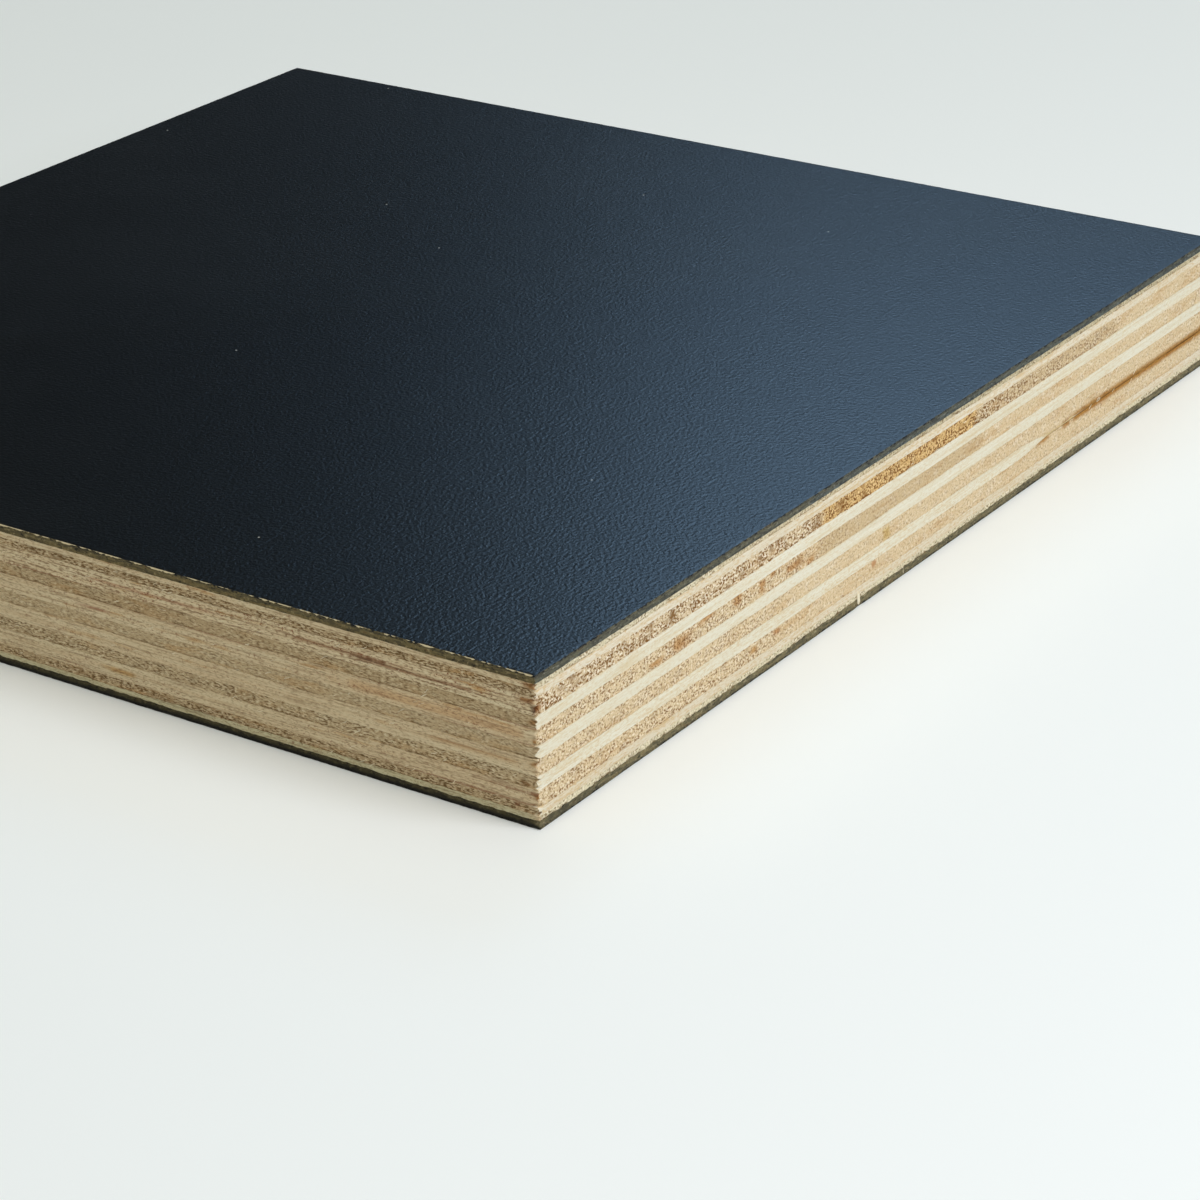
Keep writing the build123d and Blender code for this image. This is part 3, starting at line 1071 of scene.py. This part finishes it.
def sawn_paper_laminate(colours):
    """Resin-soaked papers pressed into one board and sawn through.

    The edge shows their fine layers in olive brown, a dark line of film outside, and pale chips at the
    arris.
    """
    material, tree, shader, place = new_material("pressed_paper_laminate_sawn")
    papers = solid_noise(tree, place, (2.2, 2.2, 0.35))
    torn = solid_noise(tree, place, (0.8, 0.8, 0.5))
    layers = (
        (colours.paper_dark, papers, 0.4, 0.6, 1.0, None),
        (colours.paper_rust, papers, 0.4, 0.3, 0.6, None),
        (colours.paper_light, torn, 0.56, 0.68, 0.7, None),
        (colours.film, torn, 0.42, 0.32, 0.8, None),
    )
    marks = (
        (colours.film_haze, "from_outer", 0.42, 0.16, 1.0, torn),
        (colours.chip, "chip", 0.22, 0.4, 0.9, None),
    )
    mark_sheet(tree, shader, grain_layers(tree, opaque(colours.paper), layers), marks)
    saw = add_node(tree, "ShaderNodeBump", {"Strength": 0.4, "Distance": 0.08 * MM, "Height": torn})
    tree.links.new(saw, shader["Normal"])
    shader["Roughness"].default_value = 0.7
    shader["Specular IOR Level"].default_value = 0.2
    return material


TORN_SHADE_SHARE = 0.35  # how dark the torn patches of end grain look, against its open pores: partly open pores, partly painted shade in these hollows


def sawn_end_grain(name, along_x, speck, crumb, fibre, pore, tip, glue, glue_line):
    """Veneer sawn across its fibres.

    The eye sees open pores as dark specks, torn fibre tips as pale ones, glue soaked in along the plies,
    and broken dark lines where two veneers meet. Real pores are finer than these, which are drawn about as
    fine as a pixel shows.
    """
    material, tree, shader, place = new_material(name)
    cells = {"speck": speck, "crumb": crumb, "soak": (9, 30, 1.4)}
    grain = grain_noises(tree, place, along_x, cells)
    openness = add_node(tree, "ShaderNodeAttribute", output="Fac", attribute_name="open")
    ragged = add_node(tree, "ShaderNodeMath", {0: openness, 1: openness}, operation="MULTIPLY")
    torn_darkening = add_node(tree, "ShaderNodeMath", {0: ragged, 1: TORN_SHADE_SHARE}, operation="MULTIPLY")
    layers = (
        (glue, grain["soak"], 0.52, 0.75, 0.5, None),
        (tip, grain["crumb"], 0.52, 0.7, 0.4, None),
        (tip, grain["speck"], 0.54, 0.66, openness, None),
        (pore, grain["speck"], 0.45, 0.35, openness, None),
        (pore, grain["speck"], 0.52, 0.44, ragged, grain["crumb"]),
    )
    marks = (
        # Torn patches and torn corners darken towards the pore colour: partly open pores, partly painted
        # shade.
        (pore, "torn_and_shade", 0.0, 1.0, torn_darkening, None),
        (pore, "from_outer", glue_line[0], 1.0, glue_line[1], grain["crumb"]),
    )
    mark_sheet(tree, shader, grain_layers(tree, opaque(fibre), layers), marks)
    rough = add_node(
        tree, "ShaderNodeBump", {"Strength": 0.8, "Distance": 0.14 * MM, "Height": grain["speck"]}
    )
    tree.links.new(rough, shader["Normal"])
    shader["Roughness"].default_value = 0.85
    shader["Specular IOR Level"].default_value = 0.25
    return material


FIGURE_SHARE = 0.7  # how strong the figure of long grain is, against the openness of its pores


def sawn_long_grain(name, along_x, fibre, light, line, streak, glue):
    """Veneer sawn along its fibres.

    It is smooth, with bands and fine lines that run with the grain, a few pores cut open lengthwise, and
    places where glue came through.
    """
    material, tree, shader, place = new_material(name)
    cells = {
        "band": (1.0, 60, 0.9),
        "line": (0.5, 11, 0.32),
        "fuzz": (0.3, 0.8, 0.22),
        "pore": (0.35, 0.45, 0.3),
        "soak": (4, 12, 1.4),
    }
    grain = grain_noises(tree, place, along_x, cells)
    openness = add_node(tree, "ShaderNodeAttribute", output="Fac", attribute_name="open")
    amount = add_node(tree, "ShaderNodeMath", {0: openness, 1: FIGURE_SHARE}, operation="MULTIPLY")
    layers = (
        (light, grain["band"], 0.46, 0.66, 0.7, None),
        (line, grain["line"], 0.5, 0.68, amount, None),
        (light, grain["line"], 0.42, 0.3, amount, None),
        (streak, grain["band"], 0.36, 0.28, amount, None),
        (line, grain["fuzz"], 0.48, 0.34, amount, None),
        (light, grain["fuzz"], 0.55, 0.68, amount, None),
        (streak, grain["pore"], 0.57, 0.66, amount, grain["soak"]),
        (glue, grain["soak"], 0.62, 0.74, amount, None),
    )
    mark_sheet(tree, shader, grain_layers(tree, opaque(fibre), layers), ())
    rough = add_node(
        tree, "ShaderNodeBump", {"Strength": 0.5, "Distance": 0.1 * MM, "Height": grain["fuzz"]}
    )
    tree.links.new(rough, shader["Normal"])
    shader["Roughness"].default_value = 0.75
    shader["Specular IOR Level"].default_value = 0.3
    return material


def wood_materials(colours):
    """The cuts of the veneers by their names, made when they are first asked for."""
    makers = {
        "pale_veneer_sawn_along": (
            sawn_long_grain, True, colours.cream, colours.cream_light, colours.cream_streak,
            colours.cream_streak, colours.cream_streak,
        ),
        "pale_veneer_sawn_across": (
            sawn_end_grain, True, (0.75, 5, 0.22), (3.0, 6, 0.55), colours.pale_end,
            colours.pale_end_pore, colours.pale_end_tip, colours.glue, (0.8, 0.8),
        ),
        "porous_veneer_sawn_along": (
            sawn_long_grain, False, colours.tan, colours.tan_light, colours.tan_line, colours.tan_streak,
            colours.glue,
        ),
        "porous_veneer_sawn_across": (
            sawn_end_grain, False, (0.42, 5, 0.36), (1.6, 6, 0.9), colours.porous_end,
            colours.porous_end_pore, colours.porous_end_tip, colours.glue, (0.82, 0.2),
        ),
        "face_veneer_sawn_across": (
            sawn_end_grain, False, (0.42, 5, 0.36), (1.6, 6, 0.9), colours.face_end,
            colours.face_end_pore, colours.porous_end_tip, colours.face_end, (0.7, 0.7),
        ),
    }
    found = {}
    for name, (maker, *values) in makers.items():
        found[name] = bpy.data.materials.get(name) or maker(name, *values)
    return found


def veneer_materials(node, woods):
    """The materials of one veneer's walls and faces, by the grain that it was laid with."""
    if node in GRAIN_ALONG_X:
        face = woods["pale_veneer_sawn_along"]
        x_wall, y_wall = woods["pale_veneer_sawn_across"], face
    else:
        kind = "face" if node in FACE_VENEERS else "porous"
        face = woods["porous_veneer_sawn_along"]
        x_wall, y_wall = face, woods[kind + "_veneer_sawn_across"]
    return {
        "X Wall Material": x_wall,
        "Y Wall Material": y_wall,
        "Upper Material": face,
        "Lower Material": face,
    }


def lay_veneers(context, nodes):
    """Lays these veneers, with materials that all veneers share."""
    woods = wood_materials(context.scene.sheet_colours)
    for node in nodes:
        lay_sheet(node, context.scene.sawn_edge_sizes, veneer_materials(node, woods))


class LayLaminates(bpy.types.Operator):
    """Press the two laminate sheets on the panel's faces"""

    bl_idname = "plywood.lay_laminates"
    bl_label = "Laminates"

    def execute(self, context):
        colours = context.scene.sheet_colours
        film = embossed_film(colours)
        core = sawn_paper_laminate(colours)
        for node in LAMINATES:
            upper, lower = (film, core) if node == STACK[-1] else (core, film)
            walls = {"X Wall Material": core, "Y Wall Material": core}
            faces = {"Upper Material": upper, "Lower Material": lower}
            lay_sheet(node, context.scene.sawn_edge_sizes, {**walls, **faces})
        return {"FINISHED"}


class LayFaceVeneers(bpy.types.Operator):
    """Lay the thin sanded veneers under the laminates"""

    bl_idname = "plywood.lay_face_veneers"
    bl_label = "Face veneers"

    def execute(self, context):
        lay_veneers(context, FACE_VENEERS)
        return {"FINISHED"}


class LayCrossbands(bpy.types.Operator):
    """Lay the crossbands next to the face veneers"""

    bl_idname = "plywood.lay_crossbands"
    bl_label = "Crossbands"

    def execute(self, context):
        lay_veneers(context, CROSSBANDS)
        return {"FINISHED"}


class LayCoreVeneers(bpy.types.Operator):
    """Lay the core veneers, one of which stops short at the front edge"""

    bl_idname = "plywood.lay_core_veneers"
    bl_label = "Core veneers"

    def execute(self, context):
        lay_veneers(context, CORE_VENEERS)
        return {"FINISHED"}


def loose_fibre(colours):
    """Wood fibre that the saw left behind, pale and fuzzy, a little darker in places."""
    material, tree, shader, place = new_material("loose_wood_fibre")
    layers = ((colours.cream_streak, solid_noise(tree, place, (1.5, 1.5, 1.5)), 0.45, 0.65, 0.8, None),)
    tree.links.new(grain_layers(tree, opaque(colours.fibre), layers), shader["Base Color"])
    shader["Roughness"].default_value = 0.9
    shader["Specular IOR Level"].default_value = 0.2
    return material


QUARTER = math.radians(90)
CLEARANCE = 1.05  # how far in from the edge a fibre's middle lies, against half its thickness
FIRST_SEED, SPLINTER_SEED = 11, 3


def edge_fibres(sizes, material):
    """What the tree is told of the fibres on every edge."""
    height = WHOLE_LEVELS[-2] - WHOLE_LEVELS[1]
    return {
        "Strip Length": PANEL_LENGTH - 4 * sizes.fibre_length,
        "Strip Height": height - sizes.fibre_length,
        "Count": sizes.fibre_count,
        "Shortest": 0.3 * sizes.fibre_length,
        "Longest": sizes.fibre_length,
        "Half Width": sizes.fibre_radius,
        "Half Depth": sizes.fibre_radius,
        "Mean Lean": 0.0,
        "Lean Spread": math.radians(40),
        "Curl": 0.5 * sizes.fibre_length,
        "Fibre Material": material,
    }


def splinter(sizes, spot, share):
    """What the tree is told of a splinter so far from the near corner, at a share of the full size."""
    length = share * sizes.splinter_length
    half_width = share * sizes.splinter_radius
    half_depth = share * sizes.splinter_depth
    return {
        "Strip Length": half_width,
        "Strip Height": 0.0,
        "Count": 2,
        "Seed": SPLINTER_SEED,
        "Shortest": 0.7 * length,
        "Longest": length,
        "Half Width": half_width,
        "Half Depth": half_depth,
        "Mean Lean": math.radians(88),
        "Lean Spread": math.radians(12),
        "Curl": 0.0,
        "Place": Vector((LEFT + spot, FRONT + CLEARANCE * half_depth, 0.55 * length)),
        "Turn": (QUARTER, 0.0, 0.0),
    }


class ScatterFibres(bpy.types.Operator):
    """Scatter the loose fibres over the sawn edges, and two splinters at the front"""

    bl_idname = "plywood.scatter_fibres"
    bl_label = "Loose fibres"

    def execute(self, context):
        sizes = context.scene.sawn_edge_sizes
        tree = saw_fibres_tree()
        common = edge_fibres(sizes, loose_fibre(context.scene.sheet_colours))
        middle = (WHOLE_LEVELS[1] + WHOLE_LEVELS[-2]) / 2
        front_place = Vector((0.0, FRONT + CLEARANCE * sizes.fibre_radius, middle))
        for number, edge in enumerate(("front", "right", "back", "left")):
            place = Matrix.Rotation(QUARTER * number, 3, "Z") @ front_place
            turn = (QUARTER, 0.0, QUARTER * number)
            values = {**common, "Seed": FIRST_SEED + number, "Place": place, "Turn": turn}
            self.keep(grown_mesh("saw_fibres_" + edge, tree, values))
        for name, spot, share in (
            ("splinter_front", sizes.splinter_place, 1.0),
            ("sliver_front", sizes.sliver_place, 0.6),
        ):
            self.keep(grown_mesh(name, tree, {**common, **splinter(sizes, spot, share)}))
        return {"FINISHED"}

    def keep(self, piece):
        """Ties one piece of fibres to the panel."""
        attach(piece, ROOT_BODY)


def pale_floor(colours):
    """A matt painted table top, quite even, which only takes the panel's soft shadow."""
    material, _, shader, _ = new_material("matt_painted_board")
    shader["Base Color"].default_value = opaque(colours.floor)
    shader["Roughness"].default_value = 1.0
    shader["Specular IOR Level"].default_value = 0.0
    return material


def towards(azimuth, elevation):
    """The direction from the panel to a viewer or lamp; azimuth 0 is in front, at -Y, and 90 at +X."""
    flat = math.cos(elevation)
    return Vector((math.sin(azimuth) * flat, -math.cos(azimuth) * flat, math.sin(elevation)))


def add_lamp(name, kind, azimuth, elevation, distance, colour, power, **settings):
    """A lamp that stands in that direction, in degrees, and shines at the panel."""
    data = bpy.data.lights.new(name, kind)
    data.color = linear(colour)
    data.energy = power
    for label, value in settings.items():
        setattr(data, label, value)
    lamp = bpy.data.objects.new(name, data)
    back = towards(math.radians(azimuth), math.radians(elevation))
    lamp.location = back * distance
    lamp.rotation_euler = back.to_track_quat("Z", "Y").to_euler()
    bpy.context.scene.collection.objects.link(lamp)


def add_camera(stage):
    """The camera, where the photograph was taken from."""
    back = towards(stage.azimuth, stage.elevation)
    right = Vector((math.cos(stage.azimuth), math.sin(stage.azimuth), 0.0))
    up = back.cross(right)
    across = right * math.cos(stage.roll) + up * math.sin(stage.roll)
    upward = up * math.cos(stage.roll) - right * math.sin(stage.roll)
    data = bpy.data.cameras.new("photograph_view")
    data.lens = stage.lens
    camera = bpy.data.objects.new("photograph_view", data)
    turn = Matrix((across, upward, back)).transposed().to_4x4()
    spot = right * stage.aim_right - up * stage.aim_down + back * stage.distance
    camera.matrix_world = Matrix.Translation(spot) @ turn
    bpy.context.scene.collection.objects.link(camera)
    bpy.context.scene.camera = camera


def add_floor(colours):
    """A floor that reaches out of every view."""
    reach = 20.0
    drop = -0.05 * MM
    corners = [(-reach, -reach, drop), (reach, -reach, drop), (reach, reach, drop), (-reach, reach, drop)]
    mesh = bpy.data.meshes.new("floor")
    mesh.from_pydata(corners, [], [(0, 1, 2, 3)])
    mesh.materials.append(pale_floor(colours))
    floor = bpy.data.objects.new("floor", mesh)
    bpy.context.scene.collection.objects.link(floor)


DARK_ROOM = linear("#08090a")
PALE_WALL = linear("#bcc8d2")
DARK_ABOVE, PALE_BELOW = 0.13, 0.05  # rise of the sight where the wall ends and where it is full, as a sine


def add_world():
    """A dark room with a pale band of wall along the horizon."""
    world = bpy.data.worlds.new("studio_room")
    world.use_nodes = True
    tree = world.node_tree
    direction = add_node(tree, "ShaderNodeTexCoord", output="Generated")
    rise = add_node(tree, "ShaderNodeSeparateXYZ", {0: direction}, output="Z")
    band = {"Value": rise, "From Min": DARK_ABOVE, "From Max": PALE_BELOW}
    wall = add_node(tree, "ShaderNodeMapRange", band)
    room = add_node(
        tree,
        "ShaderNodeMix",
        {"Factor": wall, COLOUR_A: opaque(DARK_ROOM), COLOUR_B: opaque(PALE_WALL)},
        output=COLOUR_RESULT,
        data_type="RGBA",
    )
    tree.links.new(room, tree.nodes["Background"].inputs["Color"])
    bpy.context.scene.world = world


class BuildStage(bpy.types.Operator):
    """Set up the floor, the lamps and the photograph's view"""

    bl_idname = "plywood.build_stage"
    bl_label = "Stage"

    def execute(self, context):
        stage = context.scene.stage_settings
        add_floor(context.scene.sheet_colours)
        add_world()
        add_camera(stage)
        add_lamp(
            "key_softbox", "AREA", azimuth=-6, elevation=40, distance=0.95,
            colour="#f1f4ff", power=stage.key_power, size=0.6,
        )
        add_lamp(
            "cool_window", "AREA", azimuth=110, elevation=35, distance=2.0,
            colour="#aed8ff", power=stage.window_power, shape="RECTANGLE", size=0.8, size_y=0.7,
        )
        add_lamp(
            "overhead_light", "SUN", azimuth=-50, elevation=78, distance=3.0,
            colour="#fffdec", power=stage.sky_strength, angle=math.radians(110),
        )
        context.scene.view_settings.view_transform = "Standard"
        return {"FINISHED"}


class PlywoodPanel(bpy.types.Panel):
    """The panel's sizes and colours, and the steps that build it"""

    bl_idname = "VIEW3D_PT_plywood"
    bl_label = "Plywood panel"
    bl_space_type = "VIEW_3D"
    bl_region_type = "UI"
    bl_category = "Plywood"

    def draw(self, context):
        for step in STEPS:
            self.layout.operator(step.bl_idname)
        for name in SETTINGS:
            group = getattr(context.scene, name)
            for label in group.bl_rna.properties.keys():
                if label not in ("rna_type", "name"):
                    self.layout.prop(group, label)


STEPS = (LayLaminates, LayFaceVeneers, LayCrossbands, LayCoreVeneers, ScatterFibres, BuildStage)
SETTINGS = {
    "sawn_edge_sizes": SawnEdgeSizes,
    "sheet_colours": SheetColours,
    "stage_settings": StageSettings,
}
CLASSES = (*SETTINGS.values(), *STEPS, PlywoodPanel)


def register():
    """Adds the settings, the steps and the panel to Blender."""
    for cls in CLASSES:
        bpy.utils.register_class(cls)
    for name, group in SETTINGS.items():
        setattr(bpy.types.Scene, name, PointerProperty(type=group))


def unregister():
    """Takes them away again."""
    for name in SETTINGS:
        delattr(bpy.types.Scene, name)
    for cls in reversed(CLASSES):
        bpy.utils.unregister_class(cls)


def main():
    """Builds the panel and its stage."""
    register()
    bpy.ops.plywood.lay_laminates()
    bpy.ops.plywood.lay_face_veneers()
    bpy.ops.plywood.lay_crossbands()
    bpy.ops.plywood.lay_core_veneers()
    bpy.ops.plywood.scatter_fibres()
    bpy.ops.plywood.build_stage()


if __name__ == "__main__":
    main()
